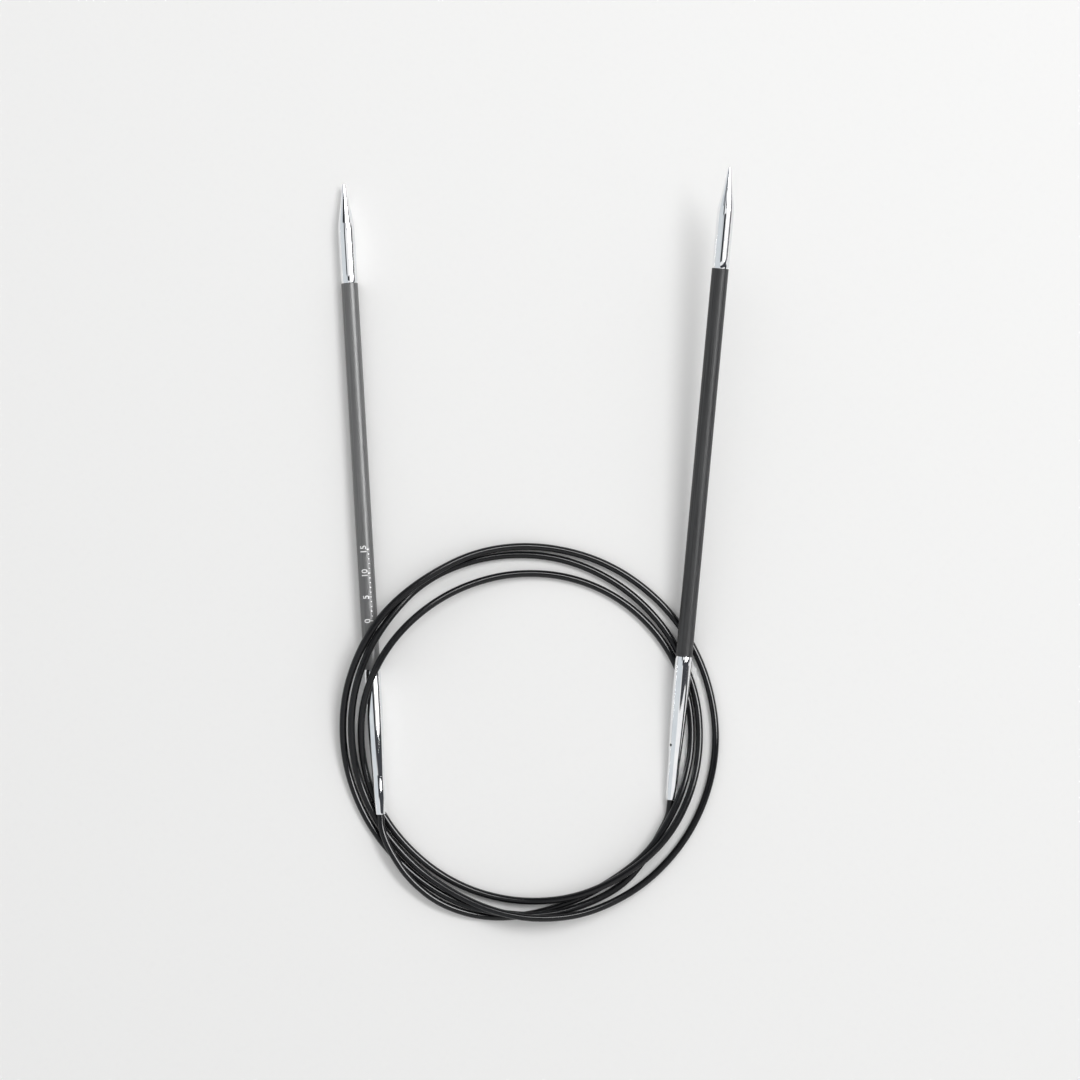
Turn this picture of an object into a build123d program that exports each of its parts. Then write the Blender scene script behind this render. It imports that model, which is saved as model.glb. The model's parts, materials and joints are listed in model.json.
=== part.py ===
from build123d import *
import math
import os

# Circular knitting needle: two rigid needles joined by one long flexible cord that lies in loose turns.
# Millimetres. +Z is up from the floor, +Y runs from the joins towards the points of the needles,
# and the origin is on the floor under the middle of the two needles.

# ---------------------------------------------------------------- the needle
NEEDLE_DIAMETER = 3.5       # outside of the shaft, and of the metal where it meets the shaft
TIP_LENGTH = 21.0           # metal point, as far as it shows
TIP_TAPER = 9.3             # the part of the point that narrows
POINT_RADIUS = 0.3          # rounding at the very end
SHAFT_LENGTH = 81.2
SHAFT_BORE = 2.6
SPIGOT_LENGTH = 12.0        # how far each metal end reaches into the shaft
GLUE_GAP = 0.05             # radial, between a spigot and the shaft's bore
JOINT_BEVEL_DEPTH = 0.12    # of the shallow bevel on the metal where it meets the shaft
JOINT_BEVEL_LENGTH = 0.6
SPIGOT_CHAMFER = 0.2
CHAMFER_SHARE = 0.4         # the most of a hollow spigot's wall that its chamfer takes

# ---------------------------------------------------------------- the ferrule that holds the cord
FERRULE_LENGTH = 30.5
MOUTH_WALL = 0.17           # thickness where the cord comes out
LIP_ROUNDING = 0.15
MOUTH_BORE_LENGTH = 5.0
NOSE_LENGTH = 5.6           # from the mouth to the small bead
BEAD_RISE = 0.28            # how much further the bead stands out from the axis than the mouth
NECK_RISE = 0.23
NECK_AT = 6.8               # distance from the mouth
PARALLEL_LENGTH = 4.5       # stretch before the shaft that is as wide as the shaft
SIGHT_HOLE_DIAMETER = 0.6
SIGHT_HOLE_AT = 11.7        # distance from the mouth
# the pull points of the ferrule's curves, each a share of the way across and a share of the way along
NOSE_PULLS = ((0.75, 0.35), (0.95, 0.7))
WAIST_PULLS = ((1.4, 0.3), (1.4, 0.67))
TAPER_PULLS = ((0.46, 0.18), (1.0, 0.58))

# ---------------------------------------------------------------- what turns inside the ferrule
WASHER_THICKNESS = 0.3
ANCHOR_LENGTH = 3.0         # sleeve crimped on the end of the cord
ANCHOR_WALL = 0.17
CRIMP_DEPTH = 0.06
PLUG_LENGTH = 6.0
SWIVEL_CLEARANCE = 0.08     # radial, between what turns and what doesn't
END_FLOAT = 0.1             # along the axis, at each end of the anchor
PRESS_GAP = 0.02            # radial, between the plug or washer and the chamber

# ---------------------------------------------------------------- the cord
CORD_DIAMETER = 1.5
LEAD_OUT = 3.4              # straight stretch outside each mouth
ARC_SHARE = 0.45            # share of a run that the arc at its end takes up

# ---------------------------------------------------------------- how the needles lie
# The left one leans on the cord under its mouth and touches the floor where its point starts to narrow.
# The right one crosses the cord, which presses its mouth down and lifts its point.
LEFT_MOUTH = (-32.27, -67.32, 2.72)
LEFT_HEADING = 3.39         # degrees from +Y towards -X
RIGHT_MOUTH = (28.66, -64.35, 1.22)
RIGHT_HEADING = -5.09
RIGHT_TILT = 4.77           # degrees, point end up
LEFT_HOLE_TURN = 170        # degrees about the needle's axis, from the top towards +X
RIGHT_HOLE_TURN = -50

# ---------------------------------------------------------------- the cord's route
# (degrees about the middle of the turns, counted on from turn to turn; radius; height)
COIL_CENTRE = (-0.94, -50.07)
CORD_ROUTE = [
    (221, 38.6, 2.6), (231, 40.1, 2.2), (243, 41.0, 1.4), (257, 40.4, 0.75), (272, 38.5, 0.75),
    (287, 36.7, 0.9), (300, 35.7, 1.6), (313, 35.5, 2.35), (326, 34.7, 2.8), (340, 34.4, 2.35),
    (356, 34.35, 0.75), (374, 34.35, 0.75), (394, 34.3, 0.75), (415, 34.15, 0.75), (436, 33.95, 0.75),
    (457, 33.8, 1.2), (477, 33.95, 2.75), (495, 34.4, 4.7), (512, 35.1, 5.95), (529, 35.7, 4.8),
    (545, 35.9, 1.15), (561, 36.0, 0.75), (579, 35.85, 0.75), (600, 36.0, 0.75), (621, 36.15, 0.85),
    (642, 36.3, 2.1), (661, 36.1, 3.6), (680, 36.55, 4.1), (698, 36.4, 2.8), (716, 36.1, 1.5),
    (735, 36.1, 0.85), (757, 36.2, 0.75), (779, 36.7, 0.75), (801, 37.6, 0.75), (823, 38.3, 0.75),
    (844, 39.1, 2.25), (863, 38.3, 4.8), (880, 38.1, 5.45), (897, 37.9, 3.75), (914, 37.7, 1.8),
    (932, 37.5, 0.85), (950, 37.45, 1.3), (966, 37.6, 2.75), (980, 38.4, 4.0), (994, 39.35, 4.15),
    (1010, 40.2, 2.85), (1030, 40.5, 1.1), (1052, 40.3, 0.75), (1075, 39.95, 0.75), (1098, 39.4, 0.75),
    (1120, 39.3, 0.75), (1143, 39.4, 0.75), (1165, 39.5, 0.75), (1185, 39.8, 1.9), (1204, 39.4, 4.1),
    (1221, 39.9, 5.45), (1237, 39.8, 4.75), (1253, 39.8, 2.95), (1271, 39.65, 1.25), (1290, 39.4, 0.75),
    (1309, 39.2, 0.75), (1326, 39.3, 1.35), (1342, 38.7, 2.4), (1356, 38.75, 2.5), (1369, 38.2, 1.7),
    (1381, 37.8, 1.0), (1392, 36.2, 0.75), (1402, 34.75, 0.75),
]
LEFT_LEAD_CORNERS = 6       # the lead-out's corner and the route's first ones, up to where the coil starts
RIGHT_LEAD_CORNERS = 5

# ---------------------------------------------------------------- worked out from the above
needle_r = NEEDLE_DIAMETER / 2
spigot_r = SHAFT_BORE / 2 - GLUE_GAP
cord_r = CORD_DIAMETER / 2
mouth_bore_r = cord_r + SWIVEL_CLEARANCE
mouth_r = mouth_bore_r + MOUTH_WALL
anchor_r = cord_r + ANCHOR_WALL
chamber_r = anchor_r + SWIVEL_CLEARANCE
anchor_start = MOUTH_BORE_LENGTH + WASHER_THICKNESS + END_FLOAT
anchor_end = anchor_start + ANCHOR_LENGTH
needle_length = FERRULE_LENGTH + SHAFT_LENGTH + TIP_LENGTH
taper_start = needle_length - TIP_TAPER


def heading_vector(heading, tilt):
    """Unit vector along a needle, from its mouth to its point."""
    level = math.cos(math.radians(tilt))
    east = -math.sin(math.radians(heading)) * level
    north = math.cos(math.radians(heading)) * level
    return Vector(east, north, math.sin(math.radians(tilt)))


def needle_plane(mouth, direction):
    """Plane at a needle's mouth: z along the needle, x up and y towards +X of the whole."""
    up = Vector(0, 0, 1) - direction * direction.Z
    return Plane(origin=mouth, x_dir=up.normalized(), z_dir=direction)


def turned(*outline):
    """A body of revolution about z from edges in the plane of x, the radius, and z."""
    return revolve(make_face(Wire(list(outline)).edges()), Axis.Z)


def ring(inner, outer, start, end):
    """A plain sleeve along z."""
    height = end - start
    sleeve = Cylinder(outer, height) - Cylinder(inner, height)
    return Pos(0, 0, (start + end) / 2) * sleeve


def outline_through(*corners):
    """Straight edges from corner to corner, each corner given as (radius, z)."""
    points = [(r, 0, z) for r, z in corners]
    return [Edge.make_line(a, b) for a, b in zip(points, points[1:])]


def make_tip():
    """Metal point with its spigot; z = 0 is the face that meets the shaft."""
    middle = TIP_LENGTH - POINT_RADIUS
    shoulder = TIP_LENGTH - TIP_TAPER
    reach = math.hypot(needle_r, middle - shoulder)
    lean = math.atan2(needle_r, middle - shoulder) - math.asin(POINT_RADIUS / reach)
    tangent = (POINT_RADIUS * math.cos(lean), 0, middle + POINT_RADIUS * math.sin(lean))
    half = (math.pi / 2 + lean) / 2
    crown = (POINT_RADIUS * math.cos(half), 0, middle + POINT_RADIUS * math.sin(half))
    sides = outline_through(
        (0, -SPIGOT_LENGTH),
        (spigot_r - SPIGOT_CHAMFER, -SPIGOT_LENGTH),
        (spigot_r, -SPIGOT_LENGTH + SPIGOT_CHAMFER),
        (spigot_r, 0),
        (needle_r - JOINT_BEVEL_DEPTH, 0),
        (needle_r, JOINT_BEVEL_LENGTH),
        (needle_r, shoulder),
        (tangent[0], tangent[2]),
    )
    nose = Edge.make_three_point_arc(tangent, crown, (0, 0, TIP_LENGTH))
    axis = Edge.make_line((0, 0, TIP_LENGTH), (0, 0, -SPIGOT_LENGTH))
    return turned(*sides, nose, axis)


def make_shaft():
    """Hollow shaft; z = 0 is its end at the ferrule."""
    return ring(SHAFT_BORE / 2, needle_r, 0, SHAFT_LENGTH)


def curve_between(start, end, pulls):
    """A cubic curve from start to end, each given as (radius, z)."""
    rise, run = end[0] - start[0], end[1] - start[1]
    inner = [(start[0] + across * rise, 0, start[1] + along * run) for across, along in pulls]
    return Edge.make_bezier((start[0], 0, start[1]), *inner, (end[0], 0, end[1]))


def make_ferrule(hole_turn):
    """Turned ferrule with its spigot; z = 0 is the mouth."""
    full_width_at = FERRULE_LENGTH - PARALLEL_LENGTH
    edge = min(SPIGOT_CHAMFER, CHAMFER_SHARE * (spigot_r - chamber_r))
    back = FERRULE_LENGTH + SPIGOT_LENGTH
    lip_cut = LIP_ROUNDING * (1 - math.sqrt(0.5))
    lip = Edge.make_three_point_arc(
        (mouth_r - LIP_ROUNDING, 0, 0), (mouth_r - lip_cut, 0, lip_cut), (mouth_r, 0, LIP_ROUNDING)
    )
    bead = (mouth_r + BEAD_RISE, NOSE_LENGTH)
    neck = (mouth_r + NECK_RISE, NECK_AT)
    nose = curve_between((mouth_r, LIP_ROUNDING), bead, NOSE_PULLS)
    waist = curve_between(bead, neck, WAIST_PULLS)
    taper = curve_between(neck, (needle_r, full_width_at), TAPER_PULLS)
    sides = outline_through(
        (needle_r, full_width_at),
        (needle_r, FERRULE_LENGTH - JOINT_BEVEL_LENGTH),
        (needle_r - JOINT_BEVEL_DEPTH, FERRULE_LENGTH),
        (spigot_r, FERRULE_LENGTH),
        (spigot_r, back - edge),
        (spigot_r - edge, back),
        (chamber_r, back),
        (chamber_r, MOUTH_BORE_LENGTH),
        (mouth_bore_r, MOUTH_BORE_LENGTH),
        (mouth_bore_r, 0),
        (mouth_r - LIP_ROUNDING, 0),
    )
    body = turned(lip, nose, waist, taper, *sides)
    drill = Cylinder(SIGHT_HOLE_DIAMETER / 2, needle_r, align=(Align.CENTER, Align.CENTER, Align.MIN))
    return body - Pos(0, 0, SIGHT_HOLE_AT) * Rot(0, 0, hole_turn) * Rot(0, 90, 0) * drill


def make_thrust_washer():
    """Loose ring between the anchor and the chamber's front wall."""
    return ring(mouth_bore_r, chamber_r - PRESS_GAP, MOUTH_BORE_LENGTH, MOUTH_BORE_LENGTH + WASHER_THICKNESS)


def make_cord_anchor():
    """Sleeve crimped on the end of the cord, with two crimp marks."""
    sleeve = ring(cord_r, anchor_r, anchor_start, anchor_end)
    for share in (0.3, 0.7):
        middle = anchor_start + share * ANCHOR_LENGTH
        half_width = ANCHOR_LENGTH / 12
        sleeve -= ring(anchor_r - CRIMP_DEPTH, anchor_r + 1, middle - half_width, middle + half_width)
    return sleeve


def make_stop_plug():
    """Plug pressed into the chamber behind the anchor."""
    start = anchor_end + END_FLOAT
    plug = Pos(0, 0, start + PLUG_LENGTH / 2) * Cylinder(chamber_r - PRESS_GAP, PLUG_LENGTH)
    return chamfer(plug.edges(), SPIGOT_CHAMFER)


def corner_radius(before, corner, after):
    """The largest arc that the two runs at a corner of the route leave room for."""
    run_in = corner - before
    run_out = after - corner
    half_turn = math.radians(run_in.get_angle(run_out) / 2)
    return ARC_SHARE * min(run_in.length, run_out.length) / math.tan(half_turn)


def cord_along(start, corners, radii, end):
    """One stretch of the cord, swept along straight runs joined by tangent arcs."""
    path = FilletPolyline(start, *corners, end, radius=radii)
    section = Plane(origin=path @ 0, z_dir=path % 0) * Circle(cord_r)
    tube = sweep(section, path=path)
    expected = math.pi * cord_r**2 * path.length
    print(f"  length {path.length:.1f}, volume {tube.volume:.2f}, section times length {expected:.2f}")
    return tube


def route_point(angle, radius, height):
    east = COIL_CENTRE[0] + radius * math.cos(math.radians(angle))
    north = COIL_CENTRE[1] + radius * math.sin(math.radians(angle))
    return Vector(east, north, height)


# ---------------------------------------------------------------- where each needle is
left_tilt = math.degrees(math.asin((needle_r - LEFT_MOUTH[2]) / taper_start))
mouths = {"left": Vector(*LEFT_MOUTH), "right": Vector(*RIGHT_MOUTH)}
directions = {
    "left": heading_vector(LEFT_HEADING, left_tilt),
    "right": heading_vector(RIGHT_HEADING, RIGHT_TILT),
}
hole_turns = {"left": LEFT_HOLE_TURN, "right": RIGHT_HOLE_TURN}

nodes = {}
for side, mouth in mouths.items():
    place = needle_plane(mouth, directions[side])
    pieces = {
        "tip": Pos(0, 0, FERRULE_LENGTH + SHAFT_LENGTH) * make_tip(),
        "shaft": Pos(0, 0, FERRULE_LENGTH) * make_shaft(),
        "ferrule": make_ferrule(hole_turns[side]),
        "thrust_washer": make_thrust_washer(),
        "stop_plug": make_stop_plug(),
        "cord_anchor": make_cord_anchor(),
    }
    for name, piece in pieces.items():
        nodes[f"{side}_{name}"] = place * piece

# ------------------------------------------------------ the cord, from the left join to the right one
ends = {side: mouths[side] + directions[side] * anchor_end for side in mouths}
lead_outs = {side: mouths[side] - directions[side] * LEAD_OUT for side in mouths}
corners = [lead_outs["left"], *[route_point(*row) for row in CORD_ROUTE], lead_outs["right"]]
stops = [mouths["left"], *corners, mouths["right"]]
radii = [corner_radius(*trio) for trio in zip(stops, stops[1:], stops[2:])]
print("corner radii", " ".join(f"{radius:.0f}" for radius in radii))

first, last = LEFT_LEAD_CORNERS, len(corners) - RIGHT_LEAD_CORNERS
coil_start = (corners[first - 1] + corners[first]) / 2
coil_end = (corners[last - 1] + corners[last]) / 2
nodes["cord_lead_left"] = cord_along(ends["left"], corners[:first], radii[:first], coil_start)
nodes["cord_coil"] = cord_along(coil_start, corners[first:last], radii[first:last], coil_end)
nodes["cord_lead_right"] = cord_along(coil_end, corners[last:], radii[last:], ends["right"])

# ---------------------------------------------------------------- files
os.makedirs("parts", exist_ok=True)
for name, solid in nodes.items():
    solid.label = name
    export_step(solid, f"parts/{name}.step")
    print(name, "volume", round(solid.volume, 2))
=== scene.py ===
import json
import math

import bmesh
import bpy
from mathutils import Matrix, Vector


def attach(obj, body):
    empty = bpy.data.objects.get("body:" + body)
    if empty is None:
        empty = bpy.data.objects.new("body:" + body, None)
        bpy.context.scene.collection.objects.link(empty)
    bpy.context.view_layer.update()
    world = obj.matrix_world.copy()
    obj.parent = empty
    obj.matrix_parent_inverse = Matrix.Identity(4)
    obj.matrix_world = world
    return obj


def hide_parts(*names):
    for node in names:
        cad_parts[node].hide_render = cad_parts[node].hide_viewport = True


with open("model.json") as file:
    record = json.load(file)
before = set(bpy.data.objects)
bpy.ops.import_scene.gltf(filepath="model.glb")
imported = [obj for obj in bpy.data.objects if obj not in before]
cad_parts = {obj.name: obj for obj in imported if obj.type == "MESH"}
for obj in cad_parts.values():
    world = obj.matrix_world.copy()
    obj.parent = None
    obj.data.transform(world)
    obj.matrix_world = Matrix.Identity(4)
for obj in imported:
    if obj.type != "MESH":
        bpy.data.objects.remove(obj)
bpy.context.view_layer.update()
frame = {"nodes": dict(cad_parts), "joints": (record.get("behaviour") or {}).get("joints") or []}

# Circular knitting needle on a plain pale floor, seen from straight above.
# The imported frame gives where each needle's mouth is and which way it points; sizes below are in millimetres
# and are turned into metres by MM.

scene = bpy.context.scene
MM = 0.001

# ---------------------------------------------------------------- sizes of the needle, mm
NEEDLE_R = 1.75
TIP_LENGTH = 21.0
TIP_TAPER = 9.3
POINT_R = 0.3
SHAFT_LENGTH = 81.2
SHAFT_BORE_R = 1.3
SPIGOT_LENGTH = 12.0
SPIGOT_R = 1.25
BEVEL_DEPTH = 0.12          # of the bevel where metal meets shaft
BEVEL_LENGTH = 0.6
FERRULE_LENGTH = 30.5
MOUTH_R = 1.0
MOUTH_BORE_R = 0.83
MOUTH_BORE_LENGTH = 5.0
CHAMBER_R = 1.0
LIP = 0.15
NOSE_LENGTH = 5.6
NECK_R = 1.23
NECK_AT = 6.8
FULL_WIDTH_AT = 26.0
SIGHT_HOLE_R = 0.3
SIGHT_HOLE_AT = 11.7
HOLE_TURN = {"left": 170, "right": -50}
CORD_STUB = 8.4             # how far the cord reaches into each ferrule
LEAD_OUT = 3.4              # straight stretch outside each mouth
AROUND = 128                # facets round a needle
HOLE_SIDES = 32
SHAFT_EDGE = 0.05           # broken off the shaft's outer edges
SHARP_ANGLE = math.radians(30)      # faces that meet more sharply than this show an edge

# where the point's shank turns into its cone, as shares of NEEDLE_R and mm past the shoulder
TIP_SHOULDER = ((1, -0.9), (1, -0.2), (0.975, 0.4), (0.93, 1.0))
TIP_CONE_PULLS = ((0.71, 3.4), (0.37, 6.9))

# ---------------------------------------------------------------- the cord's route, as in the CAD source
CORD_R = 0.75
COIL_CENTRE = (-0.94, -50.07)
CORD_ROUTE = [              # degrees about the coil's middle, radius and height in mm
    (221, 38.6, 2.6), (231, 40.1, 2.2), (243, 41.0, 1.4), (257, 40.4, 0.75), (272, 38.5, 0.75),
    (287, 36.7, 0.9), (300, 35.7, 1.6), (313, 35.5, 2.35), (326, 34.7, 2.8), (340, 34.4, 2.35),
    (356, 34.35, 0.75), (374, 34.35, 0.75), (394, 34.3, 0.75), (415, 34.15, 0.75), (436, 33.95, 0.75),
    (457, 33.8, 1.2), (477, 33.95, 2.75), (495, 34.4, 4.7), (512, 35.1, 5.95), (529, 35.7, 4.8),
    (545, 35.9, 1.15), (561, 36.0, 0.75), (579, 35.85, 0.75), (600, 36.0, 0.75), (621, 36.15, 0.85),
    (642, 36.3, 2.1), (661, 36.1, 3.6), (680, 36.55, 4.1), (698, 36.4, 2.8), (716, 36.1, 1.5),
    (735, 36.1, 0.85), (757, 36.2, 0.75), (779, 36.7, 0.75), (801, 37.6, 0.75), (823, 38.3, 0.75),
    (844, 39.1, 2.25), (863, 38.3, 4.8), (880, 38.1, 5.45), (897, 37.9, 3.75), (914, 37.7, 1.8),
    (932, 37.5, 0.85), (950, 37.45, 1.3), (966, 37.6, 2.75), (980, 38.4, 4.0), (994, 39.35, 4.15),
    (1010, 40.2, 2.85), (1030, 40.5, 1.1), (1052, 40.3, 0.75), (1075, 39.95, 0.75), (1098, 39.4, 0.75),
    (1120, 39.3, 0.75), (1143, 39.4, 0.75), (1165, 39.5, 0.75), (1185, 39.8, 1.9), (1204, 39.4, 4.1),
    (1221, 39.9, 5.45), (1237, 39.8, 4.75), (1253, 39.8, 2.95), (1271, 39.65, 1.25), (1290, 39.4, 0.75),
    (1309, 39.2, 0.75), (1326, 39.3, 1.35), (1342, 38.7, 2.4), (1356, 38.75, 2.5), (1369, 38.2, 1.7),
    (1381, 37.8, 1.0), (1392, 36.2, 0.75), (1402, 34.75, 0.75),
]


# ---------------------------------------------------------------- camera
VIEW_CENTRE = (1.165, -9.73)    # the point on the floor under the camera, mm
VIEW_WIDTH = 226.9              # how much the picture takes in at VIEW_HEIGHT, mm
VIEW_HEIGHT = 2                 # mm above the floor
LENS = 100
SENSOR = 36

camera_data = bpy.data.cameras.new("camera")
camera_data.lens = LENS
camera_data.sensor_width = SENSOR
camera_data.clip_start = 0.01
camera = bpy.data.objects.new("camera", camera_data)
camera.location = (VIEW_CENTRE[0] * MM, VIEW_CENTRE[1] * MM, (VIEW_WIDTH * LENS / SENSOR + VIEW_HEIGHT) * MM)
scene.collection.objects.link(camera)
scene.camera = camera


# ---------------------------------------------------------------- where each needle is
def needle_matrix(joint):
    """Placement of a needle: z runs from its mouth to its point, and x points up."""
    along = Vector(joint["axis"]).normalized()
    up = (Vector((0, 0, 1)) - along * along.z).normalized()
    side = along.cross(up)
    turn = Matrix((up, side, along)).transposed().to_4x4()
    return Matrix.Translation(Vector(joint["pos_m"])) @ turn


needles = {joint["name"].split("_")[0]: needle_matrix(joint) for joint in frame["joints"]}


# ---------------------------------------------------------------- cord
def on_needle(side, distance):
    """The point on a needle's axis that far from its mouth, in mm, towards its point."""
    return needles[side] @ Vector((0, 0, distance * MM))


def route_point(angle, radius, height):
    east = COIL_CENTRE[0] + radius * math.cos(math.radians(angle))
    north = COIL_CENTRE[1] + radius * math.sin(math.radians(angle))
    return Vector((east, north, height)) * MM


def make_cord():
    left = [on_needle("left", distance) for distance in (CORD_STUB, 0, -LEAD_OUT)]
    right = [on_needle("right", distance) for distance in (-LEAD_OUT, 0, CORD_STUB)]
    points = [*left, *[route_point(*row) for row in CORD_ROUTE], *right]
    curve = bpy.data.curves.new("cord", "CURVE")
    curve.dimensions = "3D"
    curve.bevel_depth = 1.0     # times each point's own radius, below
    curve.bevel_resolution = 8
    curve.resolution_u = 16
    curve.use_fill_caps = True
    spline = curve.splines.new("NURBS")
    spline.points.add(len(points) - 1)
    for control, point in zip(spline.points, points):
        control.co = (*point, 1)
        control.radius = CORD_R * MM
    spline.order_u = 3
    spline.use_endpoint_u = True
    spline.use_smooth = True
    cord = bpy.data.objects.new("cord", curve)
    scene.collection.objects.link(cord)
    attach(cord, "cord")
    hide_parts("cord_lead_left", "cord_coil", "cord_lead_right")
    return cord


cord = make_cord()


# ---------------------------------------------------------------- material helpers
def new_material(name):
    material = bpy.data.materials.new(name)
    material.use_nodes = True
    nodes = material.node_tree.nodes
    return material, nodes, material.node_tree.links, nodes["Principled BSDF"]


def object_coordinates(nodes, links, scale):
    """Object coordinates stretched by scale, which is x, y and z."""
    coordinates = nodes.new("ShaderNodeTexCoord")
    mapping = nodes.new("ShaderNodeMapping")
    mapping.inputs["Scale"].default_value = scale
    links.new(coordinates.outputs["Object"], mapping.inputs["Vector"])
    return mapping.outputs["Vector"]


def noise(nodes, links, vector, scale, detail=3.0):
    texture = nodes.new("ShaderNodeTexNoise")
    texture.inputs["Scale"].default_value = scale
    texture.inputs["Detail"].default_value = detail
    links.new(vector, texture.inputs["Vector"])
    return texture.outputs["Fac"]


def spread(nodes, links, value, low, high, from_low=0.3, from_high=0.7):
    """Stretches a texture's value to the range from low to high."""
    ranged = nodes.new("ShaderNodeMapRange")
    ranged.inputs["From Min"].default_value = from_low
    ranged.inputs["From Max"].default_value = from_high
    ranged.inputs["To Min"].default_value = low
    ranged.inputs["To Max"].default_value = high
    links.new(value, ranged.inputs["Value"])
    return ranged.outputs["Result"]


def colours(nodes, links, value, low, high, from_low=0.3, from_high=0.7):
    """Mixes two colours by a texture's value."""
    ramp = nodes.new("ShaderNodeValToRGB")
    ramp.color_ramp.elements[0].position = from_low
    ramp.color_ramp.elements[1].position = from_high
    ramp.color_ramp.elements[0].color = (*low, 1)
    ramp.color_ramp.elements[1].color = (*high, 1)
    links.new(value, ramp.inputs["Fac"])
    return ramp.outputs["Color"]


def bump(nodes, links, shader, height, distance):
    node = nodes.new("ShaderNodeBump")
    node.inputs["Strength"].default_value = 1.0
    node.inputs["Distance"].default_value = distance
    links.new(height, node.inputs["Height"])
    links.new(node.outputs["Normal"], shader.inputs["Normal"])


# ---------------------------------------------------------------- materials
def make_nickel():
    """Bright plated metal: nearly a mirror, with faint turning marks round it and a few dull patches."""
    material, nodes, links, shader = new_material("bright_nickel")
    shader.inputs["Metallic"].default_value = 1.0
    turning = noise(nodes, links, object_coordinates(nodes, links, (1, 1, 60)), 90, 2)
    patches = noise(nodes, links, object_coordinates(nodes, links, (1, 1, 0.4)), 700, 4)
    dull, bright = (0.80, 0.81, 0.83), (0.90, 0.90, 0.90)
    links.new(colours(nodes, links, patches, dull, bright), shader.inputs["Base Color"])
    links.new(spread(nodes, links, patches, 0.03, 0.06), shader.inputs["Roughness"])
    bump(nodes, links, shader, turning, 0.0000002)
    return material


def make_carbon(name, dark, light, roughness, specular):
    """Satin carbon fibre: grey with fine fibres that run the length of the shaft."""
    material, nodes, links, shader = new_material(name)
    fibres = noise(nodes, links, object_coordinates(nodes, links, (1, 1, 0.012)), 5200, 3)
    cloud = noise(nodes, links, object_coordinates(nodes, links, (1, 1, 0.15)), 260, 2)
    links.new(colours(nodes, links, fibres, dark, light), shader.inputs["Base Color"])
    links.new(spread(nodes, links, cloud, roughness, roughness + 0.08), shader.inputs["Roughness"])
    shader.inputs["Specular IOR Level"].default_value = specular
    bump(nodes, links, shader, fibres, 0.000002)
    return material


CORD_IOR = 1.36             # below a real plastic's, so that the cord stays as dark as in the photo


def make_cord_plastic():
    """Gloss black plastic with a slightly uneven skin and a little dust."""
    material, nodes, links, shader = new_material("cord_plastic")
    skin = noise(nodes, links, object_coordinates(nodes, links, (1, 1, 1)), 420, 3)
    dust = noise(nodes, links, object_coordinates(nodes, links, (1, 1, 1)), 9000, 2)
    black, dusty = (0.006, 0.006, 0.007), (0.018, 0.019, 0.020)
    links.new(colours(nodes, links, dust, black, dusty, 0.5, 0.85), shader.inputs["Base Color"])
    links.new(spread(nodes, links, skin, 0.10, 0.17), shader.inputs["Roughness"])
    shader.inputs["IOR"].default_value = CORD_IOR
    bump(nodes, links, shader, skin, 0.00001)
    return material


def make_ink():
    """White print, a little uneven where it is thin."""
    material, nodes, links, shader = new_material("white_print")
    wear = noise(nodes, links, object_coordinates(nodes, links, (1, 1, 1)), 4000, 3)
    worn, white = (0.72, 0.72, 0.72), (0.93, 0.93, 0.93)
    links.new(colours(nodes, links, wear, worn, white), shader.inputs["Base Color"])
    links.new(spread(nodes, links, wear, 0.35, 0.55), shader.inputs["Roughness"])
    return material


def make_plain_metal(name, dark, light, roughness):
    """Turned metal that isn't plated, for the pieces inside the ferrule."""
    material, nodes, links, shader = new_material(name)
    shader.inputs["Metallic"].default_value = 1.0
    grain = noise(nodes, links, object_coordinates(nodes, links, (1, 1, 1)), 3000, 4)
    links.new(colours(nodes, links, grain, dark, light), shader.inputs["Base Color"])
    links.new(spread(nodes, links, grain, roughness, roughness + 0.15), shader.inputs["Roughness"])
    return material


def make_turned_plastic(name, dark, light):
    """Plain plastic for the pieces inside the ferrule, and the near-black wall of the sight hole, which is
    painted shade.
    """
    material, nodes, links, shader = new_material(name)
    grain = noise(nodes, links, object_coordinates(nodes, links, (1, 1, 1)), 2500, 3)
    links.new(colours(nodes, links, grain, dark, light), shader.inputs["Base Color"])
    links.new(spread(nodes, links, grain, 0.35, 0.5), shader.inputs["Roughness"])
    return material


nickel = make_nickel()
carbon = {                  # one carbon in two copies: a lit copy for the left shaft and a darker, less glossy copy for the right, which is painted shade for how the light falls on it
    "left": make_carbon("carbon_fibre", (0.105, 0.106, 0.107), (0.165, 0.166, 0.167), 0.34, 0.40),
    "right": make_carbon("carbon_fibre_painted_shade", (0.030, 0.030, 0.031), (0.062, 0.063, 0.064), 0.34, 0.22),
}
cord_plastic = make_cord_plastic()
ink = make_ink()
crimp_steel = make_plain_metal("crimp_steel", (0.42, 0.42, 0.43), (0.62, 0.62, 0.63), 0.3)
washer_plastic = make_turned_plastic("washer_plastic", (0.74, 0.72, 0.66), (0.86, 0.85, 0.80))
plug_plastic = make_turned_plastic("plug_plastic", (0.004, 0.004, 0.004), (0.010, 0.010, 0.011))
# the sight hole's wall: near-black, painted shade inside the hole
hole_painted_shade = make_turned_plastic("sight_hole_painted_shade", (0.004, 0.004, 0.004), (0.012, 0.011, 0.010))
cord.data.materials.append(cord_plastic)

HIDDEN_PIECES = {"thrust_washer": washer_plastic, "stop_plug": plug_plastic, "cord_anchor": crimp_steel}
for side in needles:
    for piece, material in HIDDEN_PIECES.items():
        mesh = frame["nodes"][f"{side}_{piece}"].data
        mesh.materials.clear()
        mesh.materials.append(material)


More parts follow.
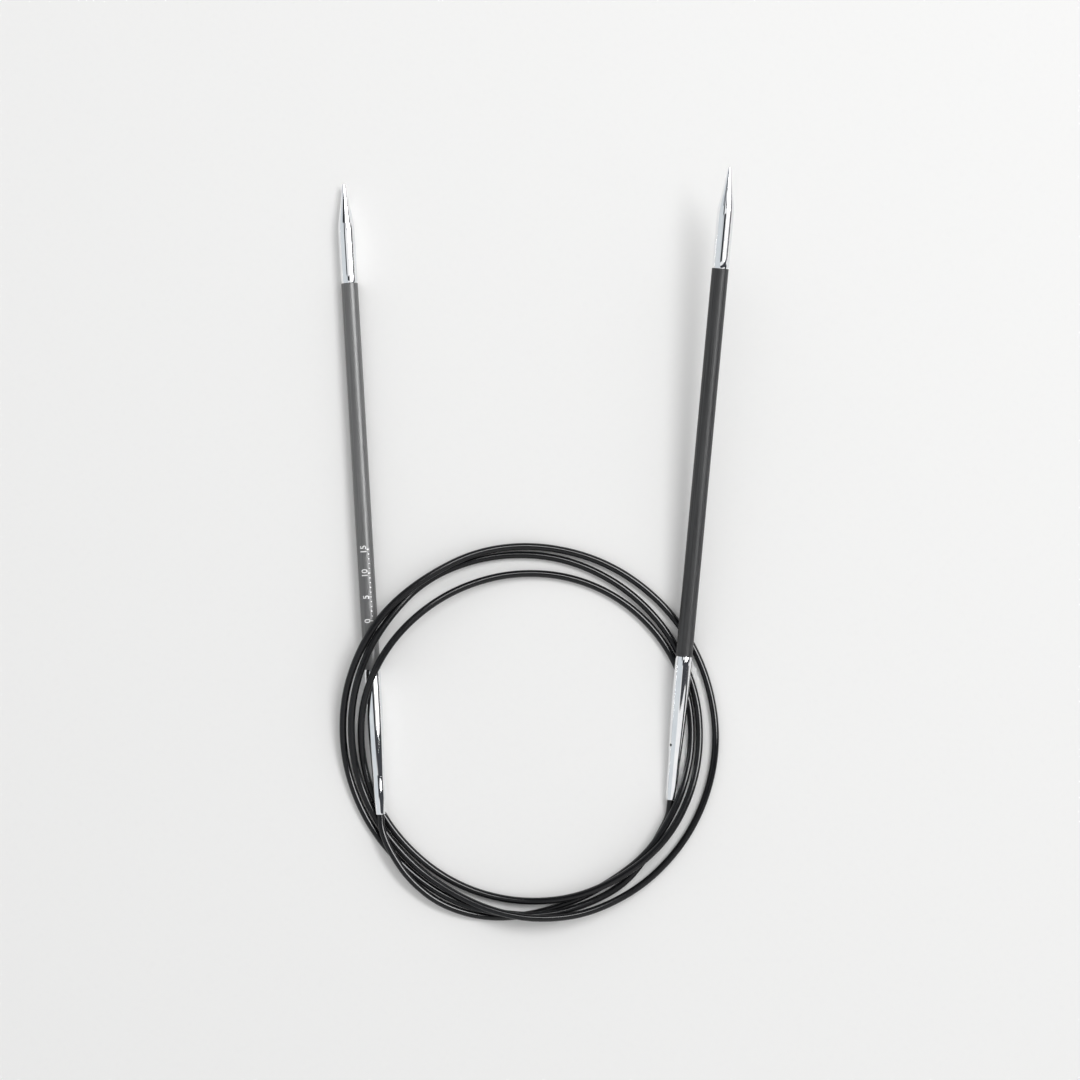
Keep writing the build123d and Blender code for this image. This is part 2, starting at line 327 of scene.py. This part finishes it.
# ---------------------------------------------------------------- needles
def bezier(start, pull_a, pull_b, end, steps=20):
    """Points along a cubic curve, without its start."""
    points = []
    for step in range(1, steps + 1):
        t = step / steps
        weights = ((1 - t) ** 3, 3 * t * (1 - t) ** 2, 3 * t * t * (1 - t), t**3)
        corners = (start, pull_a, pull_b, end)
        points.append(tuple(sum(w * p[i] for w, p in zip(weights, corners)) for i in (0, 1)))
    return points


def straight(start, end, longest=1.5):
    """Points along a straight side, without its start, no further apart than longest."""
    steps = max(1, math.ceil(math.dist(start, end) / longest))
    return [tuple(a + (b - a) * step / steps for a, b in zip(start, end)) for step in range(1, steps + 1)]


def lathe(name, outline, side, node, material):
    """Turns an outline of (radius, distance), in mm, about a needle's axis, and lets it stand for a CAD node.
    An outline that starts on the axis ends on it; any other is closed into a ring."""
    on_axis = outline[0][0] == 0
    shape = bmesh.new()
    angles = [2 * math.pi * step / AROUND for step in range(AROUND)]
    rings = []
    for radius, distance in outline:
        if radius == 0:
            rings.append([shape.verts.new((0, 0, distance * MM))])
            continue
        circle = [(radius * MM * math.cos(angle), radius * MM * math.sin(angle)) for angle in angles]
        rings.append([shape.verts.new((x, y, distance * MM)) for x, y in circle])
    pairs = list(zip(rings, rings[1:]))
    if not on_axis:
        pairs.append((rings[-1], rings[0]))
    for lower, upper in pairs:
        for step in range(AROUND):
            after = (step + 1) % AROUND
            corners = [lower[step % len(lower)], lower[after % len(lower)]]
            corners += [upper[after % len(upper)], upper[step % len(upper)]]
            shape.faces.new(list(dict.fromkeys(corners)))
    bmesh.ops.recalc_face_normals(shape, faces=shape.faces)
    mesh = bpy.data.meshes.new(name)
    shape.to_mesh(mesh)
    shape.free()
    mesh.shade_smooth()
    mesh.set_sharp_from_angle(angle=SHARP_ANGLE)
    mesh.materials.append(material)
    piece = bpy.data.objects.new(name, mesh)
    piece.matrix_world = needles[side]
    scene.collection.objects.link(piece)
    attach(piece, f"{side}_needle")
    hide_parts(node)
    return piece


def tip_outline():
    """The metal point: a shank, a soft shoulder, a cone that bulges very slightly and a rounded end."""
    base = FERRULE_LENGTH + SHAFT_LENGTH
    shoulder = base + TIP_LENGTH - TIP_TAPER
    end = base + TIP_LENGTH
    outline = [(0, base - SPIGOT_LENGTH), (SPIGOT_R, base - SPIGOT_LENGTH), (SPIGOT_R, base)]
    outline += [(NEEDLE_R - BEVEL_DEPTH, base), (NEEDLE_R, base + BEVEL_LENGTH)]
    on_shank, *bend = [(NEEDLE_R * share, shoulder + past) for share, past in TIP_SHOULDER]
    outline += straight(outline[-1], on_shank)
    outline += bezier(outline[-1], *bend, 10)
    lean = math.atan2(NEEDLE_R - POINT_R, TIP_TAPER)
    ball = end - POINT_R
    touch = (POINT_R * math.cos(lean), ball + POINT_R * math.sin(lean))
    cone = [(NEEDLE_R * share, shoulder + past) for share, past in TIP_CONE_PULLS]
    outline += bezier(bend[-1], *cone, touch, 24)
    for step in range(1, 8):
        angle = lean + (math.pi / 2 - lean) * step / 8
        outline.append((POINT_R * math.cos(angle), ball + POINT_R * math.sin(angle)))
    return outline + [(0, end)]


def shaft_outline():
    """A plain tube with its outer edges broken."""
    start, end = FERRULE_LENGTH, FERRULE_LENGTH + SHAFT_LENGTH
    outline = [(SHAFT_BORE_R, start), (NEEDLE_R - SHAFT_EDGE, start), (NEEDLE_R, start + SHAFT_EDGE)]
    outline += straight(outline[-1], (NEEDLE_R, end - SHAFT_EDGE), 4)
    outline += [(NEEDLE_R - SHAFT_EDGE, end), (SHAFT_BORE_R, end)]
    return outline


def ferrule_outline():
    """From the mouth's bore round the lip, over nose, bead, neck and taper, and back through the spigot."""
    widening = NEEDLE_R - NECK_R
    taper_run = FULL_WIDTH_AT - NECK_AT
    back = FERRULE_LENGTH + SPIGOT_LENGTH
    outline = [(MOUTH_BORE_R, 0), (MOUTH_R - LIP, 0)]
    outline += bezier(outline[-1], (MOUTH_R - LIP / 3, 0), (MOUTH_R, LIP / 2), (MOUTH_R, LIP), 5)
    bead = (NECK_R, NOSE_LENGTH - 1.2)
    pull_a = (MOUTH_R + 0.5 * (NECK_R - MOUTH_R), 0.3 * NOSE_LENGTH)
    pull_b = (NECK_R - 0.03, 0.55 * NOSE_LENGTH)
    outline += bezier(outline[-1], pull_a, pull_b, bead, 24)
    past_neck = (NECK_R + 0.045, NECK_AT + 1.4)
    outline += bezier(bead, (NECK_R + 0.02, NOSE_LENGTH - 0.3), (NECK_R + 0.01, NECK_AT + 0.3), past_neck, 24)
    pull_a = (NECK_R + 0.40 * widening, NECK_AT + 0.24 * taper_run)
    pull_b = (NEEDLE_R, NECK_AT + 0.58 * taper_run)
    outline += bezier(past_neck, pull_a, pull_b, (NEEDLE_R, FULL_WIDTH_AT), 40)
    outline += straight(outline[-1], (NEEDLE_R, FERRULE_LENGTH - BEVEL_LENGTH))
    outline += [(NEEDLE_R - BEVEL_DEPTH, FERRULE_LENGTH), (SPIGOT_R, FERRULE_LENGTH), (SPIGOT_R, back)]
    outline += [(CHAMBER_R, back), (CHAMBER_R, MOUTH_BORE_LENGTH), (MOUTH_BORE_R, MOUTH_BORE_LENGTH)]
    return outline


def drill_sight_hole(ferrule, side):
    """Cuts the small round hole through one wall of the ferrule; the hole's wall gets near-black painted
    shade.
    """
    shape = bmesh.new()
    radius = SIGHT_HOLE_R * MM
    bmesh.ops.create_cone(
        shape, cap_ends=True, segments=HOLE_SIDES, radius1=radius, radius2=radius, depth=NEEDLE_R * MM
    )
    drill_mesh = bpy.data.meshes.new("drill")
    shape.to_mesh(drill_mesh)
    shape.free()
    # this near-black material passes to the hole's cut wall as painted shade
    drill_mesh.materials.append(hole_painted_shade)
    drill = bpy.data.objects.new("drill", drill_mesh)
    outwards = Matrix.Translation((0, 0, SIGHT_HOLE_AT * MM))
    outwards = outwards @ Matrix.Rotation(math.radians(HOLE_TURN[side]), 4, "Z")
    outwards = outwards @ Matrix.Rotation(math.radians(90), 4, "Y")
    outwards = outwards @ Matrix.Translation((0, 0, NEEDLE_R * MM))
    drill.matrix_world = needles[side] @ outwards
    scene.collection.objects.link(drill)
    cut = ferrule.modifiers.new("sight_hole", "BOOLEAN")
    cut.operation = "DIFFERENCE"
    cut.solver = "EXACT"
    cut.material_mode = "TRANSFER"
    cut.object = drill
    graph = bpy.context.evaluated_depsgraph_get()
    cut_mesh = bpy.data.meshes.new_from_object(ferrule.evaluated_get(graph))
    ferrule.modifiers.remove(cut)
    ferrule.data = cut_mesh
    bpy.data.objects.remove(drill)
    cut_mesh.set_sharp_from_angle(angle=SHARP_ANGLE)


for side in needles:
    lathe(f"{side}_point", tip_outline(), side, f"{side}_tip", nickel)
    lathe(f"{side}_carbon_shaft", shaft_outline(), side, f"{side}_shaft", carbon[side])
    ferrule = lathe(f"{side}_join", ferrule_outline(), side, f"{side}_ferrule", nickel)
    drill_sight_hole(ferrule, side)


# ---------------------------------------------------------------- printed scale on the left shaft
PRINT_MIDDLE = 48.2         # distance from the mouth, mm
PRINT_LENGTH = 15           # from the first long mark to the last
DIGIT_HEIGHT = 1.25
DIGIT_FOOT = -0.3           # how far across the shaft the digits stand
DIGIT_WEIGHT = 0.035        # how much the strokes are thickened on each side
MARK_FOOT = -0.95
MARK_WIDTH = 0.22
LONG_MARK, SHORT_MARK = 0.55, 0.3
PRINT_LIFT = 0.006          # thickness of the print
PRINT_STRIPS = 24           # that bend the print round the shaft
DIGIT_SHARE = 0.7           # a digit's height, as a share of its font's size


def flat_mark(low, high):
    """A small rectangle in print coordinates: along the shaft, then across it."""
    return [(low[0], low[1]), (high[0], low[1]), (high[0], high[1]), (low[0], high[1])]


def wrap(mesh, cells):
    """Splits a flat print into narrow strips and bends it round the shaft."""
    shape = bmesh.new()
    shape.from_mesh(mesh)
    for strip in range(1, cells):
        across = (-0.5 + strip / cells) * 2 * NEEDLE_R
        geometry = [*shape.verts, *shape.edges, *shape.faces]
        bmesh.ops.bisect_plane(shape, geom=geometry, plane_co=(0, across, 0), plane_no=(0, 1, 0))
    radius = NEEDLE_R + PRINT_LIFT
    for vert in shape.verts:
        along, across = vert.co.x, vert.co.y
        angle = -across / NEEDLE_R
        vert.co = (radius * MM * math.cos(angle), radius * MM * math.sin(angle), along * MM)
    shape.to_mesh(mesh)
    shape.free()


def text_mesh(words, height, along, across):
    """Flat digits, reading along the shaft, in print coordinates."""
    curve = bpy.data.curves.new("digits", "FONT")
    curve.body = words
    curve.size = height / DIGIT_SHARE
    curve.align_x = "CENTER"
    curve.resolution_u = 6
    curve.offset = DIGIT_WEIGHT
    holder = bpy.data.objects.new("digits", curve)
    scene.collection.objects.link(holder)
    graph = bpy.context.evaluated_depsgraph_get()
    mesh = bpy.data.meshes.new_from_object(holder.evaluated_get(graph))
    bpy.data.objects.remove(holder)
    mesh.transform(Matrix.Translation((along, across, 0)))
    return mesh


def make_print():
    """A generic millimetre scale, white, reading towards the point."""
    shape = bmesh.new()
    start = PRINT_MIDDLE - PRINT_LENGTH / 2
    for mark in range(PRINT_LENGTH + 1):
        tall = LONG_MARK if mark % 5 == 0 else SHORT_MARK
        middle = start + mark
        corners = flat_mark((middle - MARK_WIDTH / 2, MARK_FOOT), (middle + MARK_WIDTH / 2, MARK_FOOT + tall))
        shape.faces.new([shape.verts.new((x, y, 0)) for x, y in corners])
    for number in range(0, PRINT_LENGTH + 1, 5):
        digits = text_mesh(str(number), DIGIT_HEIGHT, start + number, DIGIT_FOOT)
        shape.from_mesh(digits)
        bpy.data.meshes.remove(digits)
    mesh = bpy.data.meshes.new("printed_scale")
    shape.to_mesh(mesh)
    shape.free()
    wrap(mesh, PRINT_STRIPS)
    mesh.materials.append(ink)
    piece = bpy.data.objects.new("printed_scale", mesh)
    piece.matrix_world = needles["left"]
    scene.collection.objects.link(piece)
    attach(piece, "left_needle")


make_print()


# ---------------------------------------------------------------- floor
FLOOR_SIZE = 6.0
FLOOR_COLOUR = (0.93, 0.93, 0.925)

floor_mesh = bpy.data.meshes.new("floor")
half = FLOOR_SIZE / 2
floor_corners = [(-half, -half, 0), (half, -half, 0), (half, half, 0), (-half, half, 0)]
floor_mesh.from_pydata(floor_corners, [], [(0, 1, 2, 3)])
floor = bpy.data.objects.new("floor", floor_mesh)
scene.collection.objects.link(floor)
floor_material, _, _, floor_shader = new_material("pale_floor")
floor_shader.inputs["Base Color"].default_value = (*FLOOR_COLOUR, 1)
floor_shader.inputs["Roughness"].default_value = 0.9
floor_shader.inputs["Specular IOR Level"].default_value = 0.1
floor_mesh.materials.append(floor_material)


# ---------------------------------------------------------------- light
LIGHT_TOWARDS = (42, 36)        # azimuth from +X towards +Y, and angle from the vertical, in degrees


def towards(azimuth, from_vertical):
    """Unit vectors along a direction, sideways from it and upwards from it."""
    level = math.sin(math.radians(from_vertical))
    away = Vector((
        math.cos(math.radians(azimuth)) * level,
        math.sin(math.radians(azimuth)) * level,
        math.cos(math.radians(from_vertical)),
    ))
    sideways = Vector((0, 0, 1)).cross(away).normalized()
    return away, sideways, away.cross(sideways)


def area_light(name, direction, distance, across, along, radiance):
    """A soft lamp aimed at the frame's origin. Mirrors don't show it: the world has a softbox for them."""
    data = bpy.data.lights.new(name, "AREA")
    data.shape = "RECTANGLE"
    data.size = across
    data.size_y = along
    data.energy = radiance * math.pi * across * along
    light = bpy.data.objects.new(name, data)
    away, sideways, upwards = towards(*direction)
    light.location = away * distance
    light.visible_glossy = False
    light.rotation_mode = "QUATERNION"
    light.rotation_quaternion = Matrix((sideways, upwards, away)).transposed().to_quaternion()
    scene.collection.objects.link(light)


area_light("key", LIGHT_TOWARDS, distance=1.2, across=0.8, along=0.28, radiance=8.8)


BOOM_HEIGHT = 0.5
BOOM_GLOW = (0.06, 0.062, 0.07)
BOOM_OUTLINE = [            # metres, a card that widens to the right
    (-0.085, -0.090), (1.6, -0.090), (1.6, -0.45), (1.0, -0.32), (0.75, -0.27),
    (0.53, -0.225), (0.15, -0.190), (0.0, -0.172), (-0.01, -0.150),
]


def boom_card():
    """A dark card above the table that only mirrors show."""
    mesh = bpy.data.meshes.new("boom")
    corners = [(x, y, BOOM_HEIGHT) for x, y in BOOM_OUTLINE]
    mesh.from_pydata(corners, [], [tuple(range(len(corners)))])
    material, _, _, shader = new_material("boom")
    shader.inputs["Base Color"].default_value = (0, 0, 0, 1)
    shader.inputs["Roughness"].default_value = 1
    shader.inputs["Specular IOR Level"].default_value = 0
    shader.inputs["Emission Color"].default_value = (*BOOM_GLOW, 1)
    shader.inputs["Emission Strength"].default_value = 1
    mesh.materials.append(material)
    boom = bpy.data.objects.new("boom", mesh)
    boom.visible_camera = boom.visible_diffuse = boom.visible_shadow = boom.visible_transmission = False
    scene.collection.objects.link(boom)


boom_card()


def world_mask(nodes, links, value, low, high, soft):
    """1 where value lies between low and high, with soft edges."""
    rise = nodes.new("ShaderNodeMapRange")
    rise.interpolation_type = "SMOOTHSTEP"
    rise.inputs["From Min"].default_value = low - soft
    rise.inputs["From Max"].default_value = low + soft
    links.new(value, rise.inputs["Value"])
    fall = nodes.new("ShaderNodeMapRange")
    fall.interpolation_type = "SMOOTHSTEP"
    fall.inputs["From Min"].default_value = high - soft
    fall.inputs["From Max"].default_value = high + soft
    fall.inputs["To Min"].default_value = 1
    fall.inputs["To Max"].default_value = 0
    links.new(value, fall.inputs["Value"])
    return maths(nodes, links, "MULTIPLY", rise.outputs["Result"], fall.outputs["Result"])


def maths(nodes, links, operation, a, b):
    node = nodes.new("ShaderNodeMath")
    node.operation = operation
    for socket, value in zip(node.inputs, (a, b)):
        if isinstance(value, (int, float)):
            socket.default_value = value
        else:
            links.new(value, socket)
    return node.outputs["Value"]


def mix(nodes, links, factor, a, b):
    node = nodes.new("ShaderNodeMix")
    node.data_type = "RGBA"
    links.new(factor, node.inputs["Factor"])
    for number, value in zip(MIX_COLOURS, (a, b)):
        socket = node.inputs[number]
        if isinstance(value, tuple):
            socket.default_value = (*value, 1)
        else:
            links.new(value, socket)
    return node.outputs[MIX_RESULT]


AMBIENT = 0.62                  # what lights matt surfaces
BACKDROP = (0.90, 0.90, 0.895)  # what the camera sees past the floor
# what mirrors see: a pale room in two halves, dark shapes in front of it, and a softbox
ROOM_LEFT = (0.72, 0.76, 0.79)
ROOM_RIGHT = (1.0, 1.0, 1.0)
ROOM_RIGHT_FROM = -12           # degrees from the vertical towards +X
ROOM_JOIN_SOFT = 5
ROOM_DARK = (0.03, 0.032, 0.038)
# degrees from the vertical, from and to towards +X and then towards +Y, and how soft those edges are
DARK_SHAPES = [
    (-31, -17, 1, 20, 2, 3),        # just west of straight up
    (-16, 9, -9, 1, 3, 1.5),        # straight up
    (-50, -12, 19, 60, 4, 2),       # north-west
    (-2, 11, 10, 20, 2, 2),         # just north of straight up
    (69, 88, -7, 19, 3, 3),         # low in the east
    (50, 68, 19, 45, 3, 3),         # north-east
    (64, 105, -40, -12, 4, 2),      # low in the south-east
    (-50, 60, 36, 80, 6, 4),        # north
]
SOFTBOX_HALF = (0.62, 0.25)     # half its width and height, at a distance of 1
SOFTBOX_SOFT = 0.03
SOFTBOX_LIGHT = (20.0, 20.0, 20.0)
SOFTBOX_FACING = (0.5, 2, 0.05)     # keeps it on its own side of the sky
MIX_COLOURS, MIX_RESULT = (6, 7), 2     # a mix node's sockets for colours


def softbox_mask(nodes, links, direction):
    """1 where a direction meets the softbox."""
    parts = []
    for axis in towards(*LIGHT_TOWARDS):
        dot = nodes.new("ShaderNodeVectorMath")
        dot.operation = "DOT_PRODUCT"
        links.new(direction, dot.inputs[0])
        dot.inputs[1].default_value = axis
        parts.append(dot.outputs["Value"])
    away, *across = parts
    facing = world_mask(nodes, links, away, *SOFTBOX_FACING)
    for part, half in zip(across, SOFTBOX_HALF):
        ratio = maths(nodes, links, "DIVIDE", part, away)
        inside = world_mask(nodes, links, ratio, -half, half, SOFTBOX_SOFT)
        facing = maths(nodes, links, "MULTIPLY", facing, inside)
    return facing


def make_world():
    """Even light for matt surfaces and a plain backdrop for the camera. Mirrors see a room instead."""
    world = bpy.data.worlds.new("studio")
    scene.world = world
    world.use_nodes = True
    nodes, links = world.node_tree.nodes, world.node_tree.links
    background = nodes["Background"]
    direction = nodes.new("ShaderNodeTexCoord").outputs["Generated"]
    split = nodes.new("ShaderNodeSeparateXYZ")
    links.new(direction, split.inputs["Vector"])
    east, north, height = split.outputs
    x_angle = maths(nodes, links, "MULTIPLY", maths(nodes, links, "ARCTAN2", east, height), math.degrees(1))
    y_angle = maths(nodes, links, "MULTIPLY", maths(nodes, links, "ARCSINE", north, 0), math.degrees(1))

    right = world_mask(nodes, links, x_angle, ROOM_RIGHT_FROM, 180, ROOM_JOIN_SOFT)
    colour = mix(nodes, links, right, ROOM_LEFT, ROOM_RIGHT)
    dark = None
    for x_low, x_high, y_low, y_high, x_soft, y_soft in DARK_SHAPES:
        in_x = world_mask(nodes, links, x_angle, x_low, x_high, x_soft)
        in_y = world_mask(nodes, links, y_angle, y_low, y_high, y_soft)
        shape = maths(nodes, links, "MULTIPLY", in_x, in_y)
        dark = shape if dark is None else maths(nodes, links, "MAXIMUM", dark, shape)
    colour = mix(nodes, links, softbox_mask(nodes, links, direction), colour, SOFTBOX_LIGHT)
    mirrored = mix(nodes, links, dark, colour, ROOM_DARK)

    path = nodes.new("ShaderNodeLightPath")
    seen = mix(nodes, links, path.outputs["Is Glossy Ray"], (AMBIENT, AMBIENT, AMBIENT), mirrored)
    seen = mix(nodes, links, path.outputs["Is Camera Ray"], seen, BACKDROP)
    links.new(seen, background.inputs["Color"])


make_world()
scene.view_settings.view_transform = "Standard"

bpy.context.view_layer.update()
